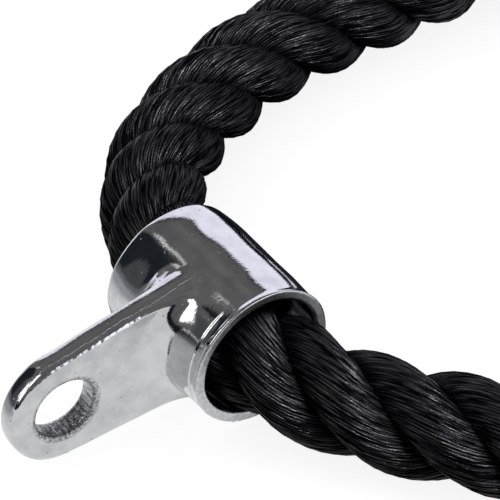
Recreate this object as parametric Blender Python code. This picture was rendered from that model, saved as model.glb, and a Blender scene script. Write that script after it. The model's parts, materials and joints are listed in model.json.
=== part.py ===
"""Triceps rope attachment: a chromed eye casting that swivels on a short length of thick
three-strand rope, with a moulded rubber stopper crimped on at each end of the rope.

It lies on its side as it is put down: the sleeve's axis runs along Y, the eye points along -X,
and both tails of the rope bend round towards +X. Metres, +Z up, floor at zero height.
"""

import math

import bmesh
import bpy
from mathutils import Vector
from mathutils.geometry import interpolate_bezier

# Eye casting: a sleeve round the rope and a flat lug with the eye
ROPE_ROOM = 0.0030
SLEEVE_WALL = 0.0036
BARREL_TAPER = 0.0003
SLEEVE_LENGTH = 0.0452
REAR_ROUNDING = 0.0018
LIP_HEIGHT = 0.0005
LIP_WIDTH = 0.0026
LIP_NECK = 0.0016
LIP_ROUNDING = 0.0010
BORE_ROUNDING = 0.0010
EYE_REACH = 0.0524
EYE_RADIUS = 0.0092
EYE_WALL = 0.0082
EYE_ROUNDING = 0.0010
LUG_THICKNESS = 0.0074
LUG_EDGE = 0.0014
LUG_FORWARD = 0.0012
LUG_TUCK = 0.0003
FILLET_RADIUS = 0.0070

# Rope
ROPE_LENGTH = 0.700
ROPE_RADIUS = 0.0150
FLOOR_GAP = 0.0004
BEND_LENGTH = 0.0520
STRAIGHT_RUN = 0.0500
SQUARE_END = 0.0030

# What holds and closes each end of the rope
FERRULE_LENGTH = 0.0160
FERRULE_WALL = 0.0016
PLUG_THICKNESS = 0.0060
PLUG_DOME = 0.0012
STOPPER_LENGTH = 0.0460
STOPPER_FLARE = 0.0052
STOPPER_HEAD = 0.0200
STOPPER_ROUNDING = 0.0045
NECK_WALL = 0.0045
NECK_LENGTH = 0.0080
NECK_ROUNDING = 0.0015

# Pieces that touch keep this gap, and cutters run this far past what they cut
CLEARANCE = 0.0003
OVERRUN = 0.0020

# How finely round shapes are cut
TURN_STEPS = 40
EYE_STEPS = 28
ARC_STEPS = 3
FACE_STEPS = 8
FILLET_STATIONS = 16
TIP_STATIONS = 7
TUBE_RESOLUTION = 4
SPAN_STEPS = 24
SHARP_ANGLE = math.radians(35)
MERGE_DISTANCE = 0.000001
UP = Vector((0, 0, 1))
TIP_SHARE = 0.96
# The rope is fat for its bends, so its tubes take a point each two thirds of a diameter.
TUBE_STEP_SHARE = 0.66

# The rope's route from the middle of the sleeve outwards. Each point is x and y from the sleeve's
# centre, and how far the rope has risen from the floor, 0, to the height of a stopper's axis, 1.
FRONT_ROUTE = (
    (-0.0010, 0.0000, 0.52),
    (0.0000, -0.0115, 0.54),
    (0.0016, -0.0225, 0.53),
    (0.0052, -0.0335, 0.40),
    (0.0114, -0.0448, 0.22),
    (0.0184, -0.0550, 0.08),
    (0.0254, -0.0645, 0.02),
    (0.0368, -0.0795, 0.00),
    (0.0557, -0.1028, 0.00),
    (0.0762, -0.1247, 0.00),
    (0.0981, -0.1452, 0.00),
    (0.1214, -0.1641, 0.07),
    (0.1457, -0.1817, 0.42),
    (0.1709, -0.1980, 0.86),
    (0.1966, -0.2135, 1.00),
    (0.2226, -0.2285, 1.00),
)
REAR_ROUTE = (
    (-0.0010, 0.0000, 0.52),
    (0.0000, 0.0115, 0.54),
    (0.0016, 0.0225, 0.53),
    (0.0050, 0.0335, 0.40),
    (0.0102, 0.0440, 0.24),
    (0.0196, 0.0580, 0.08),
    (0.0297, 0.0688, 0.02),
    (0.0438, 0.0789, 0.00),
    (0.0603, 0.0867, 0.00),
    (0.0813, 0.0925, 0.00),
    (0.1017, 0.0942, 0.00),
    (0.1254, 0.0945, 0.02),
    (0.1554, 0.0938, 0.18),
    (0.1853, 0.0916, 0.52),
    (0.2150, 0.0876, 0.86),
    (0.2445, 0.0822, 1.00),
    (0.2740, 0.0755, 1.00),
)

# Sizes that follow from those above
BORE_RADIUS = ROPE_RADIUS + ROPE_ROOM
BARREL_RADIUS = BORE_RADIUS + SLEEVE_WALL
LIP_RADIUS = BARREL_RADIUS + LIP_HEIGHT
LUG_END_RADIUS = EYE_RADIUS + EYE_WALL
GRIP_RADIUS = ROPE_RADIUS + CLEARANCE
NECK_RADIUS = GRIP_RADIUS + NECK_WALL
STOPPER_RADIUS = NECK_RADIUS + STOPPER_FLARE
SLEEVE_HEIGHT = LIP_RADIUS
ROPE_ON_FLOOR = ROPE_RADIUS + FLOOR_GAP
FERRULE_BORE = ROPE_RADIUS + CLEARANCE
FERRULE_RADIUS = FERRULE_BORE + FERRULE_WALL
POCKET_RADIUS = FERRULE_RADIUS + CLEARANCE
PLUG_INNER = CLEARANCE
STOPPER_OUTER = PLUG_INNER + PLUG_THICKNESS
STOPPER_INNER = STOPPER_OUTER - STOPPER_LENGTH
POCKET_FLOOR = -FERRULE_LENGTH - CLEARANCE
HINGE_AT = SLEEVE_LENGTH / 2 + BEND_LENGTH / 2


def clear_scene():
    for old in list(bpy.data.objects):
        bpy.data.objects.remove(old)


def finish_material(name, colour, metallic, roughness):
    material = bpy.data.materials.new(name)
    material.use_nodes = True
    shader = material.node_tree.nodes["Principled BSDF"]
    shader.inputs["Base Color"].default_value = (*colour, 1.0)
    shader.inputs["Metallic"].default_value = metallic
    shader.inputs["Roughness"].default_value = roughness
    return material


def materials():
    return {
        "chrome": finish_material("chromed_zinc_casting", (0.62, 0.63, 0.66), 1.0, 0.08),
        "rope": finish_material("black_nylon_rope", (0.006, 0.006, 0.008), 0.0, 0.45),
        "ferrule": finish_material("crimped_aluminium", (0.60, 0.61, 0.62), 1.0, 0.35),
        "rubber": finish_material("black_moulded_rubber", (0.012, 0.012, 0.013), 0.0, 0.55),
        "plug": finish_material("black_nylon_plug", (0.016, 0.016, 0.017), 0.0, 0.40),
    }


def new_object(name, data, material, parent):
    obj = bpy.data.objects.new(name, data)
    bpy.context.scene.collection.objects.link(obj)
    obj.parent = parent
    if material is not None and not data.materials:
        data.materials.append(material)
    return obj


def axis_point(name, place, parent):
    """An empty on a joint's axis, which carries what turns there."""
    empty = bpy.data.objects.new(name, None)
    bpy.context.scene.collection.objects.link(empty)
    empty.parent = parent
    empty.location = place
    return empty


def helper(obj):
    """A cutter or a joined shape: it stays in the file and out of the render."""
    obj.hide_render = True
    obj.display_type = "WIRE"
    return obj


def boolean(obj, other, operation):
    modifier = obj.modifiers.new(f"{operation.lower()}_{other.name}", "BOOLEAN")
    modifier.operation = operation
    modifier.object = other


def mesh_from(bm, name):
    """Closes off a bmesh with its faces turned outwards and shaded smooth between its edges."""
    bmesh.ops.remove_doubles(bm, verts=bm.verts, dist=MERGE_DISTANCE)
    bmesh.ops.recalc_face_normals(bm, faces=bm.faces)
    mesh = bpy.data.meshes.new(name)
    bm.to_mesh(mesh)
    bm.free()
    mesh.shade_smooth()
    mesh.set_sharp_from_angle(angle=SHARP_ANGLE)
    return mesh


def arc(centre_radius, centre_height, radius, start_deg, end_deg):
    """Points of a round corner in a turned outline, as (radius, height) pairs."""
    points = []
    for step in range(ARC_STEPS + 1):
        angle = math.radians(start_deg + (end_deg - start_deg) * step / ARC_STEPS)
        across = centre_radius + radius * math.cos(angle)
        points.append((across, centre_height + radius * math.sin(angle)))
    return points


def turned_mesh(name, outline, steps, hollow):
    """A mesh turned about Z from (radius, height) points. A hollow one's outline is a closed loop."""
    bm = bmesh.new()
    verts = [bm.verts.new((radius, 0, height)) for radius, height in outline]
    edges = [bm.edges.new(pair) for pair in zip(verts, verts[1:])]
    if hollow:
        edges.append(bm.edges.new((verts[-1], verts[0])))
    bmesh.ops.spin(
        bm, geom=verts + edges, axis=UP, cent=(0, 0, 0), angle=math.tau, steps=steps, use_merge=True
    )
    return mesh_from(bm, name)


def lay_along_y(obj):
    """Turns a shape made about Z so that it stands about Y."""
    obj.rotation_euler = (math.pi / 2, 0, 0)


# The eye casting
def sleeve_outline():
    """Outside of the sleeve, rear mouth first: its edge rolls over there, the barrel tapers a little
    towards the front, and a rounded lip stands up round the front mouth."""
    half = SLEEVE_LENGTH / 2
    rear_corner = BARREL_RADIUS + BARREL_TAPER - REAR_ROUNDING
    inner_edge = half - LIP_WIDTH
    lip_corner = LIP_RADIUS - LIP_ROUNDING
    outline = [(0, -half)]
    outline += arc(rear_corner, REAR_ROUNDING - half, REAR_ROUNDING, -90, 0)
    outline.append((BARREL_RADIUS, 0))
    outline.append((BARREL_RADIUS - BARREL_TAPER, inner_edge - LIP_NECK))
    outline += arc(lip_corner, inner_edge + LIP_ROUNDING, LIP_ROUNDING, -60, 0)
    outline += arc(lip_corner, half - LIP_ROUNDING, LIP_ROUNDING, 0, 90)
    outline.append((0, half))
    return outline


def cutter_outline(radius, rounding, low, high):
    """A round cutter from low to high that opens out at both faces and runs past them."""
    wide = radius + rounding
    outline = [(0, low - OVERRUN), (wide, low - OVERRUN)]
    outline += arc(wide, low + rounding, rounding, 270, 180)
    outline += arc(wide, high - rounding, rounding, 180, 90)
    outline += [(wide, high + OVERRUN), (0, high + OVERRUN)]
    return outline


def lug_width(along):
    """Half the lug's width at a distance from the sleeve's axis: straight sides that touch the
    barrel's round and the round of the lug's end."""
    root_radius = BARREL_RADIUS - LUG_TUCK
    slope = math.asin((root_radius - LUG_END_RADIUS) / EYE_REACH)
    root = root_radius * math.sin(slope)
    tip = EYE_REACH + LUG_END_RADIUS * math.sin(slope)
    if along <= root:
        return math.sqrt(root_radius**2 - along**2)
    if along >= tip:
        return math.sqrt(max(LUG_END_RADIUS**2 - (along - EYE_REACH) ** 2, 0))
    return (root_radius - along * math.sin(slope)) / math.cos(slope)


def lug_swell(along, across):
    """How much thicker each side of the lug is where its fillet runs up to the barrel."""
    gap = math.hypot(along, across) - BARREL_RADIUS
    if gap >= FILLET_RADIUS:
        return 0
    if gap <= 0:
        return FILLET_RADIUS
    return FILLET_RADIUS - math.sqrt(FILLET_RADIUS**2 - (FILLET_RADIUS - gap) ** 2)


def lug_section(along):
    """One cross-section of the lug as (across, through) pairs, right round its rounded edges."""
    width = lug_width(along)
    edge = min(LUG_EDGE, width / 2)
    flat = width - edge
    half = LUG_THICKNESS / 2
    side = []
    for step in range(FACE_STEPS + 1):
        across = flat * (2 * step / FACE_STEPS - 1)
        side.append((across, half + lug_swell(along, across)))
    top = half + lug_swell(along, flat) - edge
    for across, through in arc(flat, top, edge, 90, 0)[1:]:
        side.append((across, through))
    other = [(-across, -through) for across, through in side]
    return side + other


def lug_stations():
    """Distances from the sleeve's axis at which the lug's sections are taken."""
    fillet_end = BARREL_RADIUS + FILLET_RADIUS
    stations = [fillet_end * step / FILLET_STATIONS for step in range(FILLET_STATIONS + 1)]
    stations.append(EYE_REACH - EYE_RADIUS)
    for step in range(TIP_STATIONS + 1):
        angle = math.pi / 2 * TIP_SHARE * step / TIP_STATIONS
        stations.append(EYE_REACH + LUG_END_RADIUS * math.sin(angle))
    return stations


def lug_mesh():
    """The lug along +X, as sections bridged one to the next, its middle plane at y = 0."""
    bm = bmesh.new()
    rings = []
    for along in lug_stations():
        ring = [bm.verts.new((along, through, across)) for across, through in lug_section(along)]
        rings.append(ring)
    for near, far in zip(rings, rings[1:]):
        for index in range(len(near)):
            ahead = (index + 1) % len(near)
            bm.faces.new((near[index], near[ahead], far[ahead], far[index]))
    bm.faces.new(rings[0])
    bm.faces.new(rings[-1])
    return mesh_from(bm, "eye_lug")


def lug_droop():
    """How far the lug points down, with the lip and the round of the lug's end on the floor."""
    return math.asin((LIP_RADIUS - LUG_END_RADIUS) / EYE_REACH)


def eye_place():
    """The middle of the eye, from the sleeve's centre."""
    droop = lug_droop()
    return Vector((-EYE_REACH * math.cos(droop), -LUG_FORWARD, -EYE_REACH * math.sin(droop)))


def make_eye_sleeve(finishes, parent):
    """One casting: the turned sleeve, the lug joined to it, then the bore and the eye cut out."""
    mesh = turned_mesh("eye_sleeve", sleeve_outline(), TURN_STEPS, hollow=False)
    casting = new_object("eye_sleeve", mesh, finishes["chrome"], parent)
    lay_along_y(casting)
    lug = helper(new_object("eye_lug", lug_mesh(), None, parent))
    lug.rotation_euler = (0, math.pi - lug_droop(), 0)
    lug.location = (0, -LUG_FORWARD, 0)
    half = SLEEVE_LENGTH / 2
    bore = turned_mesh(
        "rope_bore", cutter_outline(BORE_RADIUS, BORE_ROUNDING, -half, half), TURN_STEPS, hollow=False
    )
    bore_cutter = helper(new_object("rope_bore", bore, None, parent))
    lay_along_y(bore_cutter)
    half = LUG_THICKNESS / 2
    eye = turned_mesh(
        "eye_hole", cutter_outline(EYE_RADIUS, EYE_ROUNDING, -half, half), EYE_STEPS, hollow=False
    )
    eye_cutter = helper(new_object("eye_hole", eye, None, parent))
    lay_along_y(eye_cutter)
    eye_cutter.location = eye_place()
    boolean(casting, lug, "UNION")
    boolean(casting, bore_cutter, "DIFFERENCE")
    boolean(casting, eye_cutter, "DIFFERENCE")
    return casting


# The rope
def route_points(route):
    """The hand-set route, with each share of the rise turned into a height from the sleeve's axis."""
    rise = STOPPER_RADIUS - ROPE_ON_FLOOR
    return [Vector((x, y, ROPE_ON_FLOOR + rise * share - SLEEVE_HEIGHT)) for x, y, share in route]


def smooth_route():
    """The whole rope's centre line as close samples, each with its distance from the middle of the
    sleeve, less than 0 towards the front."""
    front = route_points(FRONT_ROUTE)
    rear = route_points(REAR_ROUTE)
    points = front[:0:-1] + rear
    middle = len(front) - 1
    samples = [points[0]]
    start = 0
    for index in range(len(points) - 1):
        before = points[max(index - 1, 0)]
        here = points[index]
        ahead = points[index + 1]
        after = points[min(index + 2, len(points) - 1)]
        leaving = here + (ahead - before) / 6
        arriving = ahead - (after - here) / 6
        samples += interpolate_bezier(here, leaving, arriving, ahead, SPAN_STEPS + 1)[1:]
        if index + 1 == middle:
            start = len(samples) - 1
    distances = [0.0]
    for near, far in zip(samples, samples[1:]):
        distances.append(distances[-1] + (far - near).length)
    return samples, [distance - distances[start] for distance in distances]


def along_route(samples, distances, wanted):
    """The point of the smooth route at a distance, and its direction there, towards the rear."""
    index = 0
    while index < len(distances) - 2 and distances[index + 1] < wanted:
        index += 1
    near = samples[index]
    far = samples[index + 1]
    share = (wanted - distances[index]) / (distances[index + 1] - distances[index])
    return near.lerp(far, share), (far - near).normalized()


def rope_at(route, wanted):
    """The rope's centre and direction at a distance. In its stoppers it runs straight and level."""
    samples, distances = route
    bent = ROPE_LENGTH / 2 - STRAIGHT_RUN
    place, heading = along_route(samples, distances, max(-bent, min(bent, wanted)))
    if abs(wanted) > bent:
        heading = Vector((heading.x, heading.y, 0)).normalized()
        past = wanted - math.copysign(bent, wanted)
        level = STOPPER_RADIUS - SLEEVE_HEIGHT
        place = Vector((place.x, place.y, level)) + heading * past
    return place, heading


def make_rope_stretch(name, route, start, end, finishes, parent):
    """A plain tube along one stretch of the rope, its end faces square to the rope."""
    step = 2 * ROPE_RADIUS * TUBE_STEP_SHARE
    run = end - start - 2 * SQUARE_END
    spans = max(1, round(run / step))
    inner = [start + SQUARE_END + run * index / spans for index in range(1, spans)]
    first, heading_in = rope_at(route, start)
    last, heading_out = rope_at(route, end)
    points = [first, first + heading_in * SQUARE_END]
    points += [rope_at(route, distance)[0] for distance in inner]
    points += [last - heading_out * SQUARE_END, last]
    curve = bpy.data.curves.new(name, "CURVE")
    curve.dimensions = "3D"
    curve.bevel_depth = ROPE_RADIUS
    curve.bevel_resolution = TUBE_RESOLUTION
    curve.use_fill_caps = True
    spline = curve.splines.new("POLY")
    spline.points.add(len(points) - 1)
    for slot, point in zip(spline.points, points):
        slot.co = (*(point - parent_place(parent)), 1)
    return new_object(name, curve, finishes["rope"], parent)


def parent_place(parent):
    """Where a joint's empty stands, counted from the sleeve's centre."""
    place = Vector((0, 0, 0))
    while parent.parent is not None:
        place = place + parent.location
        parent = parent.parent
    return place


# What is on the rope's ends
def stopper_outline():
    """A moulded bell: a narrow neck on the rope, a smooth swell, and a thick round head."""
    neck_edge = NECK_RADIUS - NECK_ROUNDING
    head_start = STOPPER_OUTER - STOPPER_HEAD
    neck_end = STOPPER_INNER + NECK_LENGTH
    head_edge = STOPPER_RADIUS - STOPPER_ROUNDING
    outline = [(POCKET_RADIUS, POCKET_FLOOR), (GRIP_RADIUS, POCKET_FLOOR)]
    outline.append((GRIP_RADIUS, STOPPER_INNER))
    outline += arc(neck_edge, STOPPER_INNER + NECK_ROUNDING, NECK_ROUNDING, 270, 360)
    swell_steps = 2 * ARC_STEPS
    for step in range(swell_steps + 1):
        share = step / swell_steps
        ease = (1 - math.cos(math.pi * share)) / 2
        across = NECK_RADIUS + (STOPPER_RADIUS - NECK_RADIUS) * ease
        outline.append((across, neck_end + (head_start - neck_end) * share))
    outline += arc(head_edge, STOPPER_OUTER - STOPPER_ROUNDING, STOPPER_ROUNDING, 0, 90)
    outline.append((POCKET_RADIUS, STOPPER_OUTER))
    return outline


def ferrule_outline():
    return [
        (FERRULE_BORE, -FERRULE_LENGTH),
        (FERRULE_RADIUS, -FERRULE_LENGTH),
        (FERRULE_RADIUS, 0),
        (FERRULE_BORE, 0),
    ]


def plug_outline():
    radius = POCKET_RADIUS - CLEARANCE
    edge = PLUG_DOME
    outline = [(0, PLUG_INNER), (radius, PLUG_INNER)]
    outline += arc(radius - edge, STOPPER_OUTER - edge, edge, 0, 90)
    outline.append((0, STOPPER_OUTER))
    return outline


def make_rope_end(side, place, outward, meshes, finishes, hinge):
    """The ferrule crimped round the rope's end, the stopper it is pulled into, and its plug."""
    slots = {"crimp_ferrule": "ferrule", "end_stopper": "rubber", "end_plug": "plug"}
    for piece, finish in slots.items():
        obj = new_object(f"{side}_{piece}", meshes[piece], finishes[finish], hinge)
        obj.rotation_mode = "QUATERNION"
        obj.rotation_quaternion = outward.to_track_quat("Z", "Y")
        obj.location = place - parent_place(hinge)


def make_rope(route, finishes, root):
    """The swivelling middle of the rope, its two bends, and the two tails with their ends."""
    half = ROPE_LENGTH / 2
    gap = CLEARANCE / 2
    core_end = SLEEVE_LENGTH / 2
    bend_end = core_end + BEND_LENGTH
    swivel = axis_point("rope_swivel_axis", (0, 0, 0), root)
    make_rope_stretch("rope_core", route, -core_end, core_end, finishes, swivel)
    meshes = {
        "crimp_ferrule": turned_mesh("crimp_ferrule", ferrule_outline(), TURN_STEPS, hollow=True),
        "end_stopper": turned_mesh("end_stopper", stopper_outline(), TURN_STEPS, hollow=True),
        "end_plug": turned_mesh("end_plug", plug_outline(), TURN_STEPS, hollow=False),
    }
    for side, towards in (("front", -1), ("rear", 1)):
        spans = {
            "rope_bend": (core_end + 2 * gap, bend_end - gap),
            "rope_tail": (bend_end + gap, half),
        }
        hinge_place = rope_at(route, towards * HINGE_AT)[0]
        hinge = axis_point(f"{side}_tail_hinge", hinge_place, swivel)
        for piece, span in spans.items():
            start, end = sorted(towards * distance for distance in span)
            carrier = hinge if piece == "rope_tail" else swivel
            make_rope_stretch(f"{side}_{piece}", route, start, end, finishes, carrier)
        place, heading = rope_at(route, towards * half)
        make_rope_end(side, place, heading * towards, meshes, finishes, hinge)
    return swivel


def solid_corners(graph):
    """Lowest and highest corner of every piece but the rope itself."""
    low = Vector((math.inf,) * 3)
    high = -low
    for obj in bpy.context.scene.objects:
        if obj.type != "MESH" or obj.hide_render:
            continue
        shape = obj.evaluated_get(graph)
        mesh = shape.to_mesh()
        for vertex in mesh.vertices:
            corner = shape.matrix_world @ vertex.co
            low = Vector(map(min, low, corner))
            high = Vector(map(max, high, corner))
        shape.to_mesh_clear()
    return low, high


def settle_on_origin(root):
    """Puts the origin at the middle of the base of the box round the casting and the rope's ends."""
    bpy.context.view_layer.update()
    low, high = solid_corners(bpy.context.evaluated_depsgraph_get())
    middle = (low + high) / 2
    root.location = (-middle.x, -middle.y, -low.z)
    bpy.context.view_layer.update()


def say_places(root):
    """Prints the points that a drawing would call out."""
    print("sleeve centre", [round(value, 5) for value in root.location])
    print("eye centre", [round(value, 5) for value in root.location + eye_place()])
    for obj in bpy.context.scene.objects:
        if obj.type == "EMPTY":
            print(obj.name, [round(value, 5) for value in obj.matrix_world.translation])


def main():
    clear_scene()
    finishes = materials()
    root = bpy.data.objects.new("attachment", None)
    bpy.context.scene.collection.objects.link(root)
    make_eye_sleeve(finishes, root)
    route = smooth_route()
    make_rope(route, finishes, root)
    settle_on_origin(root)
    say_places(root)


main()
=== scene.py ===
"""Triceps rope attachment: looks, stage and camera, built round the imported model.

A chromed eye casting swivels on a thick three-strand rope with a moulded rubber stopper on each end.
Everything is in metres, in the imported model's own frame: +Z up, +Y along the sleeve, -X towards the eye.
"""

import json
import math
from functools import partial

import bmesh
import bpy
import numpy as np
from bpy.props import FloatProperty, IntProperty, PointerProperty, StringProperty
from bpy.types import Operator, Panel, PropertyGroup
from mathutils import Matrix, Vector
from mathutils.geometry import interpolate_bezier


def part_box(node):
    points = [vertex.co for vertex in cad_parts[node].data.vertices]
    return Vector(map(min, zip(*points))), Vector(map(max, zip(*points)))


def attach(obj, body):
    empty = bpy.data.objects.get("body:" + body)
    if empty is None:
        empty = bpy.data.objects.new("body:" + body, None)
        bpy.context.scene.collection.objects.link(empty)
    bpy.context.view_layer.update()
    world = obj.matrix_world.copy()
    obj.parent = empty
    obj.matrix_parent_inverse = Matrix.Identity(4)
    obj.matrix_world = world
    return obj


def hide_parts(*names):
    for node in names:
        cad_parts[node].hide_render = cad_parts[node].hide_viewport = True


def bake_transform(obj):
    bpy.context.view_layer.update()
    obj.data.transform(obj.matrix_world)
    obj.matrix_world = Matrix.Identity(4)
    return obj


bl_info = {
    "name": "Triceps rope attachment",
    "version": (1, 0, 0),
    "blender": (4, 5, 0),
    "location": "View3D > Sidebar > Attachment",
    "description": "Builds a chromed eye sleeve on a thick twisted rope with moulded end stoppers",
    "category": "Add Mesh",
}

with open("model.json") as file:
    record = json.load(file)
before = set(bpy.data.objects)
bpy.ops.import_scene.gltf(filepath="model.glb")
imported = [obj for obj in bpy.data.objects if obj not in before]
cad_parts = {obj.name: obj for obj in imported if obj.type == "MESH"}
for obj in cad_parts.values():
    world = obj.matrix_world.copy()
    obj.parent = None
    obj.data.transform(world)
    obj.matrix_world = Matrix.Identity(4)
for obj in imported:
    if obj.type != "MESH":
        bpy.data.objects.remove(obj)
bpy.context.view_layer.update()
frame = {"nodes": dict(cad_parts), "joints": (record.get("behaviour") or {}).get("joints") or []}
JOINTS = {joint["name"]: joint for joint in frame["joints"]}
SLEEVE_CENTRE = Vector(JOINTS["rope_swivel"]["pos_m"])
SLEEVE_LOW, SLEEVE_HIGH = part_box("eye_sleeve")
STOPPER_LOW, STOPPER_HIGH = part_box("front_end_stopper")
STOPPER_AXIS = (STOPPER_LOW.z + STOPPER_HIGH.z) / 2
MILLIMETRE = 0.001
UPWARDS = (0.0, 0.0, 1.0)
EYE_CENTRE = (-0.16933, 0.07974, 0.0174)

# The rope's route from the middle of the sleeve outwards. Each point is x and y from the sleeve's
# centre, and how far the rope has risen from the floor, 0, to the height of a stopper's axis, 1.
FRONT_ROUTE = (
    (-0.001, 0.0, 0.52), (0.0, -0.0115, 0.54), (0.0016, -0.0225, 0.53),
    (0.0052, -0.0335, 0.4), (0.0114, -0.0448, 0.22), (0.0184, -0.055, 0.08),
    (0.0254, -0.0645, 0.02), (0.0368, -0.0795, 0.0), (0.0557, -0.1028, 0.0),
    (0.0762, -0.1247, 0.0), (0.0981, -0.1452, 0.0), (0.1214, -0.1641, 0.07),
    (0.1457, -0.1817, 0.42), (0.1709, -0.198, 0.86), (0.1966, -0.2135, 1.0),
    (0.2226, -0.2285, 1.0),
)
REAR_ROUTE = (
    (-0.001, 0.0, 0.52), (0.0, 0.0115, 0.54), (0.0016, 0.0225, 0.53),
    (0.005, 0.0335, 0.4), (0.0102, 0.044, 0.24), (0.0196, 0.058, 0.08),
    (0.0297, 0.0688, 0.02), (0.0438, 0.0789, 0.0), (0.0603, 0.0867, 0.0),
    (0.0813, 0.0925, 0.0), (0.1017, 0.0942, 0.0), (0.1254, 0.0945, 0.02),
    (0.1554, 0.0938, 0.18), (0.1853, 0.0916, 0.52), (0.215, 0.0876, 0.86),
    (0.2445, 0.0822, 1.0), (0.274, 0.0755, 1.0),
)
# Samples between two points, and how far a point's tangent reaches, as a share of its neighbours'
# distance
SPAN_STEPS = 24
TANGENT_SHARE = 1 / 6
# The centre line's height where the rope lies on the floor, its straight run into each stopper, and
# the height at which its lowest yarns are pressed flat
ROPE_ON_FLOOR = 0.0154
STRAIGHT_RUN = 0.0500
ROPE_LOWEST = 0.2 * MILLIMETRE
# Distances from the sleeve's middle, with how far the rope has settled to +X and +Y there
SETTLING = (
    (-0.13, 0.0, 0.0), (-0.09, 0.0005, 0.0004), (-0.05, -0.0004, -0.0002),
    (0.0, 0.0, 0.0), (0.03, -0.0003, -0.0004), (0.07, -0.0013, 0.0003),
    (0.11, -0.0003, -0.0002), (0.16, 0.0009, 0.0008), (0.23, 0.0, 0.0),
)
# Half the stretch round the sleeve's middle over which the two tails' lays meet, and the stretch of each
# tail that its stopper grips
BEND_START = 0.0290
GRIPPED = 0.0480
GRIP_TAPER = 0.0120
# How far back from the rope's end the heading of its stopper is read
HEADING_STEP = 0.02

# The photograph's camera, as its place from the sleeve's centre and the way it looks
CAMERA_REACH = Vector((-0.345346, -0.504149, 0.565644))
CAMERA_RIGHT = Vector((0.8158891, -0.57820842, 0.0))
CAMERA_AHEAD = Vector((0.43223258, 0.60990783, -0.66421942))
CAMERA_CLIP = 0.01


def length_of(name, default, text):
    """A size that a user would change, in metres."""
    return FloatProperty(
        name=name, description=text, default=default, min=0, unit="LENGTH", precision=5
    )


def colour_of(name, default, text):
    return StringProperty(name=name, description=f"{text}, as an sRGB hex value", default=default)


class CastingSizes(PropertyGroup):
    """The eye casting's sizes."""

    sleeve_length: length_of("Sleeve length", SLEEVE_HIGH.y - SLEEVE_LOW.y, "Length along the rope")
    barrel_radius: length_of("Barrel radius", 0.0216, "Outside radius at the middle of the sleeve")
    barrel_taper: length_of("Barrel taper", 0.0003, "Radius gained at the rear mouth, lost at the front")
    barrel_crown: length_of("Barrel crown", 0.0003, "How far the barrel swells between its mouths")
    roll_width: length_of("Roll width", 0.0080, "Length of the barrel's roll off to its rear mouth")
    roll_drop: length_of("Roll drop", 0.0006, "How far the barrel has fallen at its rear mouth")
    rear_rounding: length_of("Rear rounding", 0.0018, "Radius of the rear mouth's edge")
    lip_radius: length_of("Lip radius", 0.0221, "Outside radius of the front lip")
    flare_rise: length_of("Flare rise", 0.0010, "How far the front mouth flares out to its lip")
    flare_width: length_of("Flare width", 0.0024, "Length of the flare along the sleeve")
    lip_rounding: length_of("Lip rounding", 0.0012, "Radius of the lip's outer edge")
    bore_radius: length_of("Bore radius", 0.0180, "Radius of the rope's bore")
    bore_rounding: length_of("Bore rounding", 0.0016, "Rounding of the bore's mouths")
    eye_reach: length_of("Eye reach", 0.0524, "From the sleeve's axis to the middle of the eye")
    eye_radius: length_of("Eye radius", 0.0092, "Radius of the eye")
    eye_rounding: length_of("Eye rounding", 0.0016, "Rounding of the eye's edges")
    end_radius: length_of("End radius", 0.0174, "Outside radius of the lug's round end")
    lug_thickness: length_of("Lug thickness", 0.0074, "Thickness of the flat lug")
    lug_crown: length_of("Lug crown", 0.0085, "Radius of the lug's edge, towards the front")
    rear_crown: length_of("Rear crown", 0.0140, "Radius of the lug's edge, towards the rear")
    crown_forward: length_of("Crown forward", 0.0007, "How far the crown's crest stands to the front")
    lug_forward: length_of("Lug forward", 0.0012, "How far the lug stands towards the front mouth")
    lug_tuck: length_of("Lug tuck", 0.0003, "How far the lug's root lies inside the barrel")
    front_edge: length_of("Front edge", 0.0013, "Rounding of the lug's front corners")
    edge_wear: length_of("Edge wear", 0.00004, "How deep the worn flat on the lug's front corners goes")
    rear_edge: length_of("Rear edge", 0.0016, "Rounding of the lug's rear corners")
    front_fillet: length_of("Front fillet", 0.0135, "Fillet from the lug's front face to the barrel")
    rear_fillet: length_of("Rear fillet", 0.0130, "Fillet from the lug's rear face to the barrel")
    seam_blend: length_of("Seam blend", 0.0006, "Fillet where the lug's edges run onto the barrel")
    waviness: length_of("Waviness", 0.00007, "How far hand polishing leaves the surface uneven")
    grain: length_of("Mesh grain", 0.00046, "Size of the faces of the finished surface")


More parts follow.
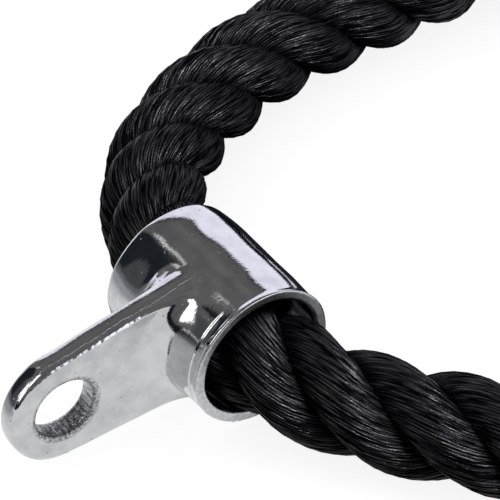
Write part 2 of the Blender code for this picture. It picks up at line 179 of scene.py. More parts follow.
class RopeSizes(PropertyGroup):
    """The rope's sizes."""

    diameter: length_of("Diameter", 0.030, "Nominal diameter of the rope")
    length: length_of("Length", 0.700, "Length of the whole rope")
    strand_radius: length_of("Strand radius", 0.0082, "Radius of one of the three strands")
    strand_offset: length_of("Strand offset", 0.0076, "From the rope's centre line to a strand's")
    squeezed: FloatProperty(
        name="Squeezed", default=0.94, min=0.5, max=1,
        description="Thickness of the strands inside the stoppers, where 1 is not squeezed",
    )
    front_lay: length_of("Front lay", 0.0740, "Length of one turn of a strand in the front tail")
    rear_lay: length_of("Rear lay", 0.0664, "Length of one turn of a strand in the rear tail")
    front_phase: FloatProperty(
        name="Front phase", description="Turn of the front tail's strands at the sleeve's middle",
        default=1.312, subtype="ANGLE",
    )
    rear_phase: FloatProperty(
        name="Rear phase", description="Turn of the rear tail's strands at the sleeve's middle",
        default=1.83, subtype="ANGLE",
    )
    front_twist: FloatProperty(
        name="Front yarn twist", default=1.62,
        description="Turns of the front tail's yarns back for one turn of a strand",
    )
    rear_twist: FloatProperty(
        name="Rear yarn twist", default=1.86,
        description="Turns of the rear tail's yarns back for one turn of a strand",
    )
    yarns: IntProperty(name="Yarns", description="Yarns round each strand", default=54, min=12)
    yarn_groove: length_of("Yarn groove", 0.00040, "Depth of the grooves between yarns")
    yarn_unevenness: length_of("Yarn unevenness", 0.00016, "How far single yarns stand up or sink")
    looseness: length_of("Looseness", 0.0012, "How far a yarn wanders up and down along its way")
    ring_step: length_of("Ring step", 0.0024, "Distance between the mesh's rings along the rope")
    colour: colour_of("Rope colour", "#09090b", "Dyed filament yarn")


class EndSizes(PropertyGroup):
    """The sizes of what closes the rope's ends."""

    grip_radius: length_of("Grip radius", 0.0153, "Radius of the stopper's bore on the rope")
    neck_radius: length_of("Neck radius", 0.0198, "Outside radius of the stopper's neck")
    head_radius: length_of("Head radius", 0.0250, "Outside radius of the stopper's head")
    stopper_length: length_of("Stopper length", 0.0460, "Length of the stopper")
    stopper_beyond: length_of("Stopper beyond", 0.0063, "How far the stopper passes the rope's end")
    head_length: length_of("Head length", 0.0200, "Length of the stopper's thick head")
    neck_length: length_of("Neck length", 0.0080, "Length of the stopper's straight neck")
    mouth_rounding: length_of("Mouth rounding", 0.0010, "Rounding of the edges round rope and plug")
    neck_rounding: length_of("Neck rounding", 0.0015, "Rounding of the neck's outer edge")
    head_rounding: length_of("Head rounding", 0.0045, "Rounding of the head's outer edge")
    ring_depth: length_of("Ring depth", 0.00045, "Depth of the rings moulded round the head")
    ring_width: length_of("Ring width", 0.0007, "Half the width of a moulded ring")
    ring_spacing: length_of("Ring spacing", 0.0036, "Distance between moulded rings")
    seam_height: length_of("Seam height", 0.00016, "Height of the mould's parting line")
    seam_width: length_of("Seam width", 0.0003, "Half the width of the mould's parting line")
    ferrule_length: length_of("Ferrule length", 0.0160, "Length of the crimped ferrule")
    ferrule_wall: length_of("Ferrule wall", 0.0016, "Wall of the crimped ferrule")
    crimp_depth: length_of("Crimp depth", 0.0003, "Depth of the crimping tool's rings")
    clearance: length_of("Clearance", 0.0003, "Room between the pieces in the stopper")
    plug_thickness: length_of("Plug thickness", 0.0060, "Thickness of the plug")
    plug_rounding: length_of("Plug rounding", 0.0012, "Rounding of the plug's edge")
    gate_radius: length_of("Gate radius", 0.0022, "Radius of the moulding gate's dimple in the plug")
    gate_depth: length_of("Gate depth", 0.0004, "Depth of the moulding gate's dimple")
    colour: colour_of("Rubber colour", "#19191b", "Moulded rubber")
    plug_colour: colour_of("Plug colour", "#1d1d20", "Moulded nylon plug")


class StageSizes(PropertyGroup):
    """Floor, lamps and camera."""

    lens: FloatProperty(name="Lens", description="Focal length in mm", default=216.0, min=20)
    sensor: FloatProperty(name="Sensor", description="Sensor width in mm", default=36.0, min=4)
    floor_size: length_of("Floor size", 8.0, "Side of the pale floor")
    paper_colour: colour_of("Paper colour", "#e8e8e8", "Seamless paper")


class AttachmentSettings(PropertyGroup):
    """All the settings of the attachment."""

    casting: PointerProperty(type=CastingSizes)
    rope: PointerProperty(type=RopeSizes)
    ends: PointerProperty(type=EndSizes)
    stage: PointerProperty(type=StageSizes)


# Materials
MATH, VECTOR_MATH, MAP_RANGE = "ShaderNodeMath", "ShaderNodeVectorMath", "ShaderNodeMapRange"
NOISE, MIX = "ShaderNodeTexNoise", "ShaderNodeMix"
SMOOTH = {"interpolation_type": "SMOOTHSTEP"}


def hex_colour(text, strength=1.0):
    """An sRGB hex colour as linear RGBA, at a strength where 1 leaves it as it is."""
    channels = [int(text[index : index + 2], 16) / 255 for index in (1, 3, 5)]
    linear = [c / 12.92 if c <= 0.04045 else ((c + 0.055) / 1.055) ** 2.4 for c in channels]
    return (*[channel * strength for channel in linear], 1.0)


def feed(made, inputs):
    """Sets a node's inputs, each to a value or to the socket that feeds it."""
    for key, value in inputs.items():
        if isinstance(value, bpy.types.NodeSocket):
            made.id_data.links.new(value, made.inputs[key])
        else:
            made.inputs[key].default_value = value


def add_node(tree, kind, *inputs, output=None, **named):
    """Adds a node with its settings and links, and gives back one output: the first that it shows,
    unless one is named. Inputs come in the order that the node shows them, or by a name with a
    capital, such as From_Min. Any other name is a setting. A math node's first value is its
    operation."""
    made = tree.nodes.new(kind)
    if kind in (MATH, VECTOR_MATH):
        made.operation, *inputs = inputs
    for key in [key for key in named if key[0].islower()]:
        setattr(made, key, named.pop(key))
    shown = [index for index, socket in enumerate(made.inputs) if not socket.is_unavailable]
    feed(made, dict(zip(shown, inputs)))
    feed(made, {key.replace("_", " "): value for key, value in named.items()})
    if output:
        return made.outputs[output]
    return next((socket for socket in made.outputs if not socket.is_unavailable), None)


def new_material(name):
    """A material, what adds a node to it, and its shader."""
    material = bpy.data.materials.new(name)
    material.use_nodes = True
    tree = material.node_tree
    return material, partial(add_node, tree), tree.nodes["Principled BSDF"]


def per_metre(*sizes_mm):
    """A texture's scale from its pattern's size in millimetres, or one for each axis."""
    scales = tuple(1 / (size * MILLIMETRE) for size in sizes_mm)
    return scales if len(scales) > 1 else scales[0]


def chromium_plate():
    """Bright chromium plate on a zinc casting that was polished by hand: a mirror on the barrel and
    the lug's edges, cloudier on the lug's flat faces, with the casting's pits under it, and rough
    where the eye wasn't polished."""
    material, add, shader = new_material("bright_chromium_plate_on_zinc")
    place = add("ShaderNodeTexCoord", output="Object")
    parts = add("ShaderNodeSeparateXYZ", place).node.outputs
    facing = add("ShaderNodeSeparateXYZ", place.node.outputs["Normal"], output="Y")
    facing = add(MATH, "ABSOLUTE", facing)
    on_face = add(MAP_RANGE, facing, 0.975, 0.999, **SMOOTH)
    # Clouds of 7 mm are where the buffing wheel bore on the casting more or less.
    cloud = add(NOISE, place, Scale=per_metre(7.0), Detail=3.0, Roughness=0.6)
    gloss = add(MAP_RANGE, cloud, 0.35, 0.65, 0.03, 0.09)
    dulled = add(MATH, "MULTIPLY_ADD", on_face, 0.20, gloss)
    # Buffing lines run along the lug, about 0.4 mm apart.
    lines = add("ShaderNodeMapping", place, Scale=per_metre(9.0, 0.4, 2.0))
    lines = add(NOISE, lines, Scale=1.0, Detail=2.0)
    wave = add(NOISE, place, Scale=per_metre(0.9), Detail=3.0, Roughness=0.6)
    # The mould's parting line is left along the lug's edges: a ragged ridge about 0.4 mm wide.
    jag = add(NOISE, place, Scale=per_metre(6.0), Detail=5.0, Roughness=0.6)
    beside = add(MATH, "MULTIPLY_ADD", jag, 0.003, parts["Y"])
    beside = add(MATH, "SUBTRACT", beside, SLEEVE_CENTRE.y - 0.0018)
    beside = add(MATH, "ABSOLUTE", beside)
    parting = add(MAP_RANGE, beside, 0.00024, 0.00004, **SMOOTH)
    on_lug = add(MAP_RANGE, parts["X"], SLEEVE_CENTRE.x - 0.006, SLEEVE_CENTRE.x - 0.012)
    parting = add(MATH, "MULTIPLY", parting, on_lug)
    # Pits in the casting, about 3.4 mm apart and 0.4 mm wide
    cells = add("ShaderNodeTexVoronoi", place, Scale=per_metre(3.4))
    depth = add(MAP_RANGE, cells, 0.035, 0.080, **SMOOTH)
    # The casting's own grain is left in the eye, on its rounded mouths and on the lip's flat face.
    from_eye = add(VECTOR_MATH, "SUBTRACT", place, EYE_CENTRE)
    from_eye = add(VECTOR_MATH, "MULTIPLY", from_eye, (1.0, 0.0, 1.0))
    from_eye = add(VECTOR_MATH, "LENGTH", from_eye)
    in_eye = add(MAP_RANGE, from_eye, 0.0114, 0.0104, **SMOOTH)
    on_lip = add(MAP_RANGE, parts["Y"], SLEEVE_LOW.y + 0.0010, SLEEVE_LOW.y + 0.0003)
    grain = add(NOISE, place, Scale=per_metre(1.3), Detail=4.0, Roughness=0.7)
    unpolished = add(MATH, "MULTIPLY", on_lip, 0.22)
    unpolished = add(MATH, "MAXIMUM", unpolished, in_eye)
    # The eye's drift marks run through it, along its axis.
    marks = add("ShaderNodeMapping", place, Scale=per_metre(0.8, 3.2, 0.8))
    marks = add(NOISE, marks, Scale=1.0, Detail=4.0, Roughness=0.65)
    grain = add(MIX, in_eye, grain, marks, data_type="FLOAT")
    rough = add(MATH, "MULTIPLY", unpolished, grain)
    seamless = add(MATH, "SUBTRACT", 1.0, in_eye)
    parting = add(MATH, "MULTIPLY", parting, seamless)
    dulled = add(MATH, "MULTIPLY_ADD", on_lip, 0.08, dulled)
    # Bumps over one another, each a pattern with its strength and its depth in millimetres
    buffing = ((lines, 0.40, 0.02), (wave, 0.80, 0.03))
    faults = ((depth, 0.8, 0.06), (rough, 1.0, 0.42), (parting, 0.7, 0.08))
    bumps = {}
    for height, strength, depth_mm in buffing + faults:
        deep = depth_mm * MILLIMETRE
        bumps["Normal"] = add("ShaderNodeBump", Height=height, Strength=strength, Distance=deep, **bumps)
    # Smoky patches of about 6 mm, where the plate is thinner or was burnt in the bath
    smoke = add(NOISE, place, Scale=per_metre(6.0), Detail=6.0, Roughness=0.62)
    smoke = add(MAP_RANGE, smoke, 0.34, 0.60)
    plate = add(MIX, smoke, hex_colour("#bdbdc1"), hex_colour("#cecfd0"), data_type="RGBA")
    plate = add(MIX, depth, hex_colour("#6c6a68"), plate, data_type="RGBA")
    # The plate didn't take everywhere in the eye and on the lip, and is dark there.
    unplated = add(MAP_RANGE, grain, 0.60, 0.40, To_Max=0.75)
    bare = add(MATH, "MULTIPLY", on_lip, 0.35)
    bare = add(MATH, "MAXIMUM", bare, in_eye)
    unplated = add(MATH, "MULTIPLY", unplated, bare)
    shade = add(MIX, unplated, plate, hex_colour("#403f44"), data_type="RGBA")
    feed(shader, {"Base Color": shade, "Roughness": dulled, "Metallic": 1.0, **bumps})
    return material


def filament_yarn(colour):
    """Black polypropylene filament yarn, twisted and laid: each bundle of filaments is glossy along its
    length. Shade is painted in: the grooves between yarns and the valleys between strands are painted near
    black and lose their sheen."""
    material, add, shader = new_material("twisted_polypropylene_filament")
    place = add("ShaderNodeAttribute", output="Vector", attribute_name="strand_place")
    # Share of painted light: 1 on an open crown, falling to painted shade in a groove or deep between
    # strands
    crown = add("ShaderNodeAttribute", output="Fac", attribute_name="yarn_openness")
    # Bundles of filaments are about 0.5 mm wide, and single ones, drawn at 0.2 mm, only glitter.
    bundles = add("ShaderNodeMapping", place, Scale=per_metre(0.55, 0.55, 5.0))
    bundles = add(NOISE, bundles, Scale=1.0, Detail=2.0)
    filaments = add("ShaderNodeMapping", place, Scale=per_metre(0.22, 0.22, 3.2))
    filaments = add(NOISE, filaments, Scale=1.0, Detail=2.0)
    bumps = {}
    for height, strength, depth_mm in ((bundles, 1.0, 0.70), (filaments, 0.8, 0.20)):
        deep = depth_mm * MILLIMETRE
        bumps["Normal"] = add("ShaderNodeBump", Height=height, Strength=strength, Distance=deep, **bumps)
    # The bundles' random tone is the yarn's own. Multiplied by the share above, it paints shade into the
    # grooves and between strands, where the colour goes near black and the sheen is taken away.
    lit = add(MAP_RANGE, bundles, 0.40, 0.62, **SMOOTH)
    lit = add(MATH, "MULTIPLY", lit, crown)
    shade = add(MIX, lit, hex_colour("#020203"), hex_colour(colour), data_type="RGBA")
    gloss = add(MAP_RANGE, lit, To_Min=0.60, To_Max=0.30)
    sheen = add(MAP_RANGE, lit, To_Min=0.0, To_Max=0.36)
    feed(shader, {"Base Color": shade, "Roughness": gloss, "Specular IOR Level": sheen, **bumps})
    return material


def moulded_rubber(colour):
    """Moulded natural rubber: satin, with the faint grain of a blasted mould."""
    material, add, shader = new_material("moulded_natural_rubber")
    place = add("ShaderNodeTexCoord", output="Object")
    grain = add(NOISE, place, Scale=per_metre(0.5), Detail=4.0, Roughness=0.6)
    bloom = add(NOISE, place, Scale=per_metre(14.0), Detail=2.0)
    dullness = add(MAP_RANGE, bloom, 0.3, 0.7, 0.42, 0.6)
    normal = add("ShaderNodeBump", Height=grain, Strength=0.5, Distance=0.06 * MILLIMETRE)
    feed(shader, {"Base Color": hex_colour(colour), "Roughness": dullness, "Normal": normal})
    return material


def moulded_nylon(colour):
    """Moulded nylon: a harder, glossier black than the rubber, with faint flow marks."""
    material, add, shader = new_material("moulded_nylon")
    place = add("ShaderNodeTexCoord", output="Object")
    flow = add(NOISE, place, Scale=per_metre(4.0), Detail=3.0, Distortion=1.0)
    gloss = add(MAP_RANGE, flow, 0.3, 0.7, 0.26, 0.40)
    feed(shader, {"Base Color": hex_colour(colour), "Roughness": gloss})
    return material


def drawn_aluminium():
    """Drawn aluminium tube, crimped: dull grey with faint drawing marks of 0.8 mm."""
    material, add, shader = new_material("crimped_aluminium_tube")
    place = add("ShaderNodeTexCoord", output="Object")
    marks = add(NOISE, place, Scale=per_metre(0.8), Detail=3.0)
    dullness = add(MAP_RANGE, marks, To_Min=0.3, To_Max=0.5)
    feed(shader, {"Base Color": hex_colour("#c9cacc"), "Roughness": dullness, "Metallic": 1.0})
    return material


# Meshes
def finish_piece(name, mesh, material):
    """Links a finished mesh as a piece with its own material."""
    mesh.materials.clear()
    mesh.materials.append(material)
    piece = bpy.data.objects.new(name, mesh)
    bpy.context.scene.collection.objects.link(piece)
    return piece


def plain_copy(obj):
    """The object's evaluated shape as a mesh of its own."""
    graph = bpy.context.evaluated_depsgraph_get()
    return bpy.data.meshes.new_from_object(obj.evaluated_get(graph), depsgraph=graph)


# The casting, as distances from its surface: less than 0 inside the metal
def round_union(first, second, radius):
    """Two shapes joined with a round fillet."""
    reach = np.hypot(np.maximum(radius - first, 0), np.maximum(radius - second, 0))
    return np.maximum(radius, np.minimum(first, second)) - reach


def soft_union(first, second, reach):
    """Two shapes joined with a fillet that eases in and out, reaching this far along each."""
    share = np.maximum(reach - np.abs(first - second), 0) / reach
    return np.minimum(first, second) - share**3 * reach / 6


def round_cut(first, second, radius):
    """What two shapes share, its edge rounded."""
    reach = np.hypot(np.maximum(radius + first, 0), np.maximum(radius + second, 0))
    return np.minimum(-radius, np.maximum(first, second)) + reach


def lug_outline(along, across, sizes):
    """Distance from the lug's outline in its own plane: the barrel's round and the end's round,
    joined by straight sides that touch both."""
    root = sizes.barrel_radius - sizes.lug_tuck
    sine = (root - sizes.end_radius) / sizes.eye_reach
    cosine = math.sqrt(1 - sine**2)
    aside = np.abs(across)
    share = along * cosine - aside * sine
    side = aside * cosine + along * sine - root
    end = np.hypot(along - sizes.eye_reach, aside) - sizes.end_radius
    round_root = np.hypot(along, aside) - root
    return np.where(share < 0, round_root, np.where(share > cosine * sizes.eye_reach, end, side))


def lug_axes(sizes):
    """The lug's own directions: out towards the eye, and up across it."""
    droop = math.asin((sizes.lip_radius - sizes.end_radius) / sizes.eye_reach)
    sine, cosine = math.sin(droop), math.cos(droop)
    return np.array((-cosine, 0, -sine)), np.array((-sine, 0, cosine))


# Slow waves over the casting: each one's direction, its length in metres and its phase
WAVES = (
    ((0.8, 0.5, 0.2), 0.0130, 0.4),
    ((-0.3, 0.9, 0.4), 0.0170, 1.9),
    ((0.5, -0.4, 0.9), 0.0110, 3.1),
    ((0.9, 0.1, -0.6), 0.0210, 5.2),
    ((0.1, 0.7, 0.8), 0.0090, 2.6),
)


# Small burrs that fettling left on the lip's lower edge and under the lug, from the sleeve's centre
BURRS = ((-0.0098, -0.0222, -0.0200), (-0.0076, -0.0222, -0.0209), (-0.0527, -0.0052, -0.0208))
BURR_HEIGHT = 0.00045
BURR_WIDTH = 0.0005
# The worn flat on the lug's front edge: how it faces, as shares of the outline's and the face's
# directions, where it lies as a share of the edge's rounding, the waves that break it, each with its
# turn in a metre, its phase and its height, and how it fades towards the barrel
WORN_OUTLINE, WORN_FACE = 0.527, 0.85
WORN_PLACE = 0.377
WORN_WAVES = ((500, 0, 1), (1300, 1, 1), (2900, 2, 0.6))
WORN_RAGGED = 0.35
WORN_FADE_START, WORN_FADE = 0.010, 0.2
# How the mesh is drawn onto the surface: the steps to it at first and after each evening, the
# slopes' step as a part of the grain, and the least slope that is reckoned with
FIRST_STEPS, EVENINGS, LATER_STEPS = 6, 4, 3
SLOPE_PARTS = 20
LEAST_SLOPE = 0.05
MERGE_DISTANCE = 0.01 * MILLIMETRE


def unevenness(place):
    """Slow waves, from about -1 to 1, that polishing by hand leaves on a casting."""
    total = 0
    for direction, length, phase in WAVES:
        across = place @ np.array(direction) * (math.tau / length)
        total = total + np.sin(across + phase) / len(WAVES) ** 0.5
    return total


def casting_distance(place, sizes):
    """Distance of each place, counted from the sleeve's centre, from the casting's surface."""
    outwards, upwards = lug_axes(sizes)
    along = place @ outwards
    across = place @ upwards
    height = place[:, 1]
    radial = np.hypot(place[:, 0], place[:, 2])
    half = sizes.sleeve_length / 2
    barrel_radius = sizes.barrel_radius + sizes.barrel_taper * height / half
    barrel_radius = barrel_radius + sizes.barrel_crown * (1 - (height / half) ** 2)
    roll = np.clip((height - half + sizes.roll_width) / sizes.roll_width, 0, 1)
    barrel_radius = barrel_radius - sizes.roll_drop * roll**2
    flare = np.clip((sizes.flare_width - half - height) / sizes.flare_width, 0, 1)
    barrel_radius = barrel_radius + sizes.flare_rise * flare**2
    corner = np.where(height < 0, sizes.lip_rounding, sizes.rear_rounding)
    sleeve = round_cut(radial - barrel_radius, np.abs(height) - half, corner)
    through = height + sizes.lug_forward
    front = through < 0
    fillet = np.where(front, sizes.front_fillet, sizes.rear_fillet)
    edge = np.where(front, sizes.front_edge, sizes.rear_edge)
    face = np.abs(through) - sizes.lug_thickness / 2
    faces = soft_union(radial - sizes.barrel_radius, face, fillet)
    slab = np.clip(through, -sizes.lug_thickness / 2, sizes.lug_thickness / 2) + sizes.crown_forward
    crown = np.where(slab > 0, sizes.rear_crown, sizes.lug_crown)
    outline = lug_outline(along, across, sizes) + slab**2 / (2 * crown)
    lug = round_cut(outline, faces, edge)
    # A worn flat, broken where the edge was hammered, runs along the front edge's rounding.
    ragged = sum(rise * np.sin(along * pace + phase) for pace, phase, rise in WORN_WAVES)
    worn = sizes.front_edge * WORN_PLACE + sizes.edge_wear * (1 + ragged * WORN_RAGGED)
    worn = worn - np.maximum(sizes.barrel_radius + WORN_FADE_START - radial, 0) * WORN_FADE
    lug = np.maximum(lug, np.where(front, WORN_OUTLINE * outline + WORN_FACE * faces + worn, lug))
    lug = np.maximum(lug, face - fillet)
    whole = round_union(sleeve, lug, sizes.seam_blend)
    whole = round_cut(whole, sizes.bore_radius - radial, sizes.bore_rounding)
    eye = sizes.eye_radius - np.hypot(along - sizes.eye_reach, across)
    whole = round_cut(whole, eye, sizes.eye_rounding)
    for burr in BURRS:
        off = ((place - np.array(burr)) ** 2).sum(axis=1)
        whole = whole - BURR_HEIGHT * np.exp(-off / BURR_WIDTH**2)
    return whole + sizes.waviness * unevenness(place)


def slopes(place, sizes, step):
    """The distance's gradient at each place."""
    parts = []
    for axis in np.eye(3):
        ahead = casting_distance(place + axis * step, sizes)
        behind = casting_distance(place - axis * step, sizes)
        parts.append((ahead - behind) / (2 * step))
    return np.stack(parts, axis=1)


def onto_surface(place, sizes, rounds):
    """Moves each place onto the casting's surface along the gradient."""
    step = sizes.grain / SLOPE_PARTS
    for _ in range(rounds):
        gradient = slopes(place, sizes, step)
        steepness = np.maximum((gradient**2).sum(axis=1), LEAST_SLOPE)
        shift = casting_distance(place, sizes) / steepness
        shift = np.clip(shift, -sizes.grain, sizes.grain)
        place = place - gradient * shift[:, None]
    return place


def evened(place, edges, count):
    """Each place moved to the middle of its neighbours."""
    total = np.zeros_like(place)
    np.add.at(total, edges[:, 0], place[edges[:, 1]])
    np.add.at(total, edges[:, 1], place[edges[:, 0]])
    return total / count[:, None]


def casting_mesh(sizes):
    """The casting's surface: the solid's shape remeshed finely, evened, and drawn onto the rounded
    surface that the sizes describe."""
    rough = frame["nodes"]["eye_sleeve"].data.copy()
    bm = bmesh.new()
    bm.from_mesh(rough)
    bmesh.ops.remove_doubles(bm, verts=bm.verts, dist=MERGE_DISTANCE)
    bm.to_mesh(rough)
    bm.free()
    block = bpy.data.objects.new("casting_block", rough)
    bpy.context.scene.collection.objects.link(block)
    remesh = block.modifiers.new("fine_skin", "REMESH")
    remesh.mode = "VOXEL"
    remesh.voxel_size = sizes.grain
    mesh = plain_copy(block)
    bpy.data.objects.remove(block)
    mesh.name = "eye_casting"
    centre = np.array(SLEEVE_CENTRE)
    place = np.empty(len(mesh.vertices) * 3, np.float32)
    mesh.vertices.foreach_get("co", place)
    place = place.reshape(-1, 3).astype(float) - centre
    edges = np.empty(len(mesh.edges) * 2, np.int32)
    mesh.edges.foreach_get("vertices", edges)
    edges = edges.reshape(-1, 2)
    count = np.bincount(edges.ravel(), minlength=len(place))
    place = onto_surface(place, sizes, FIRST_STEPS)
    for _ in range(EVENINGS):
        place = onto_surface(evened(place, edges, count), sizes, LATER_STEPS)
    normals = slopes(place, sizes, sizes.grain / SLOPE_PARTS)
    normals /= np.linalg.norm(normals, axis=1)[:, None]
    mesh.vertices.foreach_set("co", (place + centre).astype(np.float32).ravel())
    mesh.update()
    mesh.shade_smooth()
    mesh.normals_split_custom_set_from_vertices([tuple(normal) for normal in normals])
    return mesh


# The rope
def clamped(share):
    return max(0.0, min(1.0, share))


def eased(share):
    """A share from 0 to 1 that starts and ends gently."""
    return share * share * (3 - 2 * share)


def route_points(route):
    """The listed route in the model's frame, each share of the rise turned into a height."""
    rise = STOPPER_AXIS - ROPE_ON_FLOOR
    centre = SLEEVE_CENTRE
    return [Vector((centre.x + x, centre.y + y, ROPE_ON_FLOOR + rise * share)) for x, y, share in route]


def smooth_route():
    """The rope's centre line as close samples, with distances from the sleeve's middle, less than 0
    towards the front."""
    front = route_points(FRONT_ROUTE)
    rear = route_points(REAR_ROUTE)
    points = front[:0:-1] + rear
    middle = len(front) - 1
    samples = [points[0]]
    start = 0
    for index in range(len(points) - 1):
        before = points[max(index - 1, 0)]
        here = points[index]
        ahead = points[index + 1]
        after = points[min(index + 2, len(points) - 1)]
        leaving = here + (ahead - before) * TANGENT_SHARE
        arriving = ahead - (after - here) * TANGENT_SHARE
        samples += interpolate_bezier(here, leaving, arriving, ahead, SPAN_STEPS + 1)[1:]
        if index + 1 == middle:
            start = len(samples) - 1
    distances = [0.0]
    for near, far in zip(samples, samples[1:]):
        distances.append(distances[-1] + (far - near).length)
    return samples, [distance - distances[start] for distance in distances]


def settled(distance):
    """How far the real rope lies aside from its route at a distance from the sleeve's middle."""
    for (low, *near), (high, *far) in zip(SETTLING, SETTLING[1:]):
        if low <= distance <= high:
            share = eased((distance - low) / (high - low))
            return Vector((*near, 0)).lerp(Vector((*far, 0)), share)
    return Vector()


def rope_at(route, wanted, sizes):
    """The rope's centre at a distance from the sleeve's middle. In its stoppers it runs straight
    and level."""
    samples, distances = route
    bent = sizes.length / 2 - STRAIGHT_RUN
    inside = max(-bent, min(bent, wanted))
    index = min(max(int(np.searchsorted(distances, inside)) - 1, 0), len(samples) - 2)
    near = samples[index]
    far = samples[index + 1]
    share = (inside - distances[index]) / (distances[index + 1] - distances[index])
    place = near.lerp(far, share) + settled(inside)
    if abs(wanted) > bent:
        heading = (far - near).normalized()
        heading = Vector((heading.x, heading.y, 0)).normalized()
        beyond = wanted - math.copysign(bent, wanted)
        place = Vector((place.x, place.y, STOPPER_AXIS)) + heading * beyond
    return place


ROPE_INPUTS = {
    "Strand radius": "Float", "Strand offset": "Float", "Yarns": "Int", "Yarn twist": "Float",
    "Yarn groove": "Float", "Yarn unevenness": "Float", "Looseness": "Float", "Floor": "Float",
}
# Lower and further out than any of the rope, so that only the floor's height counts
FAR_BELOW = -9.0


def rope_tree(material):
    """Geometry nodes that lay three strands of yarns round a curve. The curve's own tilt is the turn
    of the strands, and its radius is how thick they are."""
    tree = bpy.data.node_groups.new("three_strand_rope", "GeometryNodeTree")
    tree.interface.new_socket("Route", in_out="INPUT", socket_type="NodeSocketGeometry")
    for name, kind in ROPE_INPUTS.items():
        tree.interface.new_socket(name, in_out="INPUT", socket_type=f"NodeSocket{kind}")
    tree.interface.new_socket("Rope", in_out="OUTPUT", socket_type="NodeSocketGeometry")
    add = partial(add_node, tree)
    given = add("NodeGroupInput").node.outputs

    # Three copies of the route, each moved out to its strand's place
    strands = add("GeometryNodeDuplicateElements", given["Route"], Amount=3, domain="SPLINE").node.outputs
    tangent = add("GeometryNodeInputTangent")
    leaning = add(VECTOR_MATH, "DOT_PRODUCT", tangent, UPWARDS)
    leaning = add(VECTOR_MATH, "SCALE", tangent, leaning)
    upright = add(VECTOR_MATH, "SUBTRACT", UPWARDS, leaning)
    upright = add(VECTOR_MATH, "NORMALIZE", upright)
    turn = add("GeometryNodeInputNamedAttribute", "tilt", data_type="FLOAT")
    angle = add(MATH, "MULTIPLY_ADD", strands["Duplicate Index"], math.tau / 3, turn)
    radial = add("ShaderNodeVectorRotate", upright, Axis=tangent, Angle=angle, rotation_type="AXIS_ANGLE")
    route = add("GeometryNodeCaptureAttribute", strands["Geometry"], domain="POINT").node
    for kind, name, field in (
        ("VECTOR", "radial", radial),
        ("FLOAT", "turn", turn),
        ("FLOAT", "along", add("GeometryNodeSplineParameter", output="Length")),
        ("FLOAT", "thickness", add("GeometryNodeInputRadius")),
        ("FLOAT", "strand", strands["Duplicate Index"]),
        ("VECTOR", "centre", add("GeometryNodeInputPosition")),
        ("VECTOR", "axis", tangent),
    ):
        route.capture_items.new(kind, name)
        feed(route, {name: field})
    route = route.outputs
    reach = add(MATH, "MULTIPLY", route["thickness"], given["Strand offset"])
    reach = add(VECTOR_MATH, "SCALE", route["radial"], reach)
    moved = add("GeometryNodeSetPosition", route["Geometry"], Offset=reach)
    facing = add("GeometryNodeSetCurveNormal", moved, Normal=route["radial"], mode="FREE")
    back = add(MATH, "MULTIPLY", given["Yarn twist"], -1.0)
    back = add(MATH, "MULTIPLY", route["turn"], back)
    twisted = add("GeometryNodeSetCurveTilt", facing, Tilt=back)

    # A strand's section: each yarn is a groove and two points on its crown
    points = add(MATH, "MULTIPLY", given["Yarns"], 3)
    circle = add("GeometryNodeCurvePrimitiveCircle", points, given["Strand radius"])
    index = add("GeometryNodeInputIndex")
    yarn = add(MATH, "DIVIDE", index, 3)
    yarn = add(MATH, "FLOOR", yarn)
    crown = add(MATH, "MODULO", index, 3)
    crown = add(MATH, "GREATER_THAN", crown, 0.5)
    uneven = add("FunctionNodeRandomValue", Min=-1.0, Max=1.0, ID=yarn, Seed=7, data_type="FLOAT")
    sunk = add(MATH, "SUBTRACT", crown, 1.0)
    sunk = add(MATH, "MULTIPLY", sunk, given["Yarn groove"])
    height = add(MATH, "MULTIPLY_ADD", uneven, given["Yarn unevenness"], sunk)
    here = add("GeometryNodeInputPosition")
    raised = add(VECTOR_MATH, "NORMALIZE", here)
    raised = add(VECTOR_MATH, "SCALE", raised, height)
    shaped = add("GeometryNodeSetPosition", circle, Offset=raised)
    section = add("GeometryNodeCaptureAttribute", shaped, domain="POINT").node
    for kind, name, field in (("VECTOR", "place", here), ("FLOAT", "crown", crown)):
        section.capture_items.new(kind, name)
        feed(section, {name: field})
    section = section.outputs
    swept = add("GeometryNodeCurveToMesh", twisted, section["Geometry"], route["thickness"], True)

    # Where each point is in its own strand, so that the filaments' pattern follows the yarns
    apart = add(MATH, "MULTIPLY", route["strand"], 0.05)
    apart = add("ShaderNodeCombineXYZ", X=apart, Z=route["along"])
    place = add(VECTOR_MATH, "ADD", section["place"], apart)
    wander = add(VECTOR_MATH, "MULTIPLY", place, per_metre(1.3, 1.3, 9.0))
    wander = add(NOISE, wander, Scale=1.0, Detail=2.0)
    lift = add(MATH, "SUBTRACT", wander, 0.55)
    lift = add(MATH, "MULTIPLY", lift, given["Looseness"])
    lift = add(VECTOR_MATH, "SCALE", add("GeometryNodeInputNormal"), lift)
    loosened = add("GeometryNodeSetPosition", swept, Offset=lift)
    lowest = add("ShaderNodeCombineXYZ", FAR_BELOW, FAR_BELOW, given["Floor"])
    lowest = add(VECTOR_MATH, "MAXIMUM", here, lowest)
    rested = add("GeometryNodeSetPosition", loosened, Position=lowest)
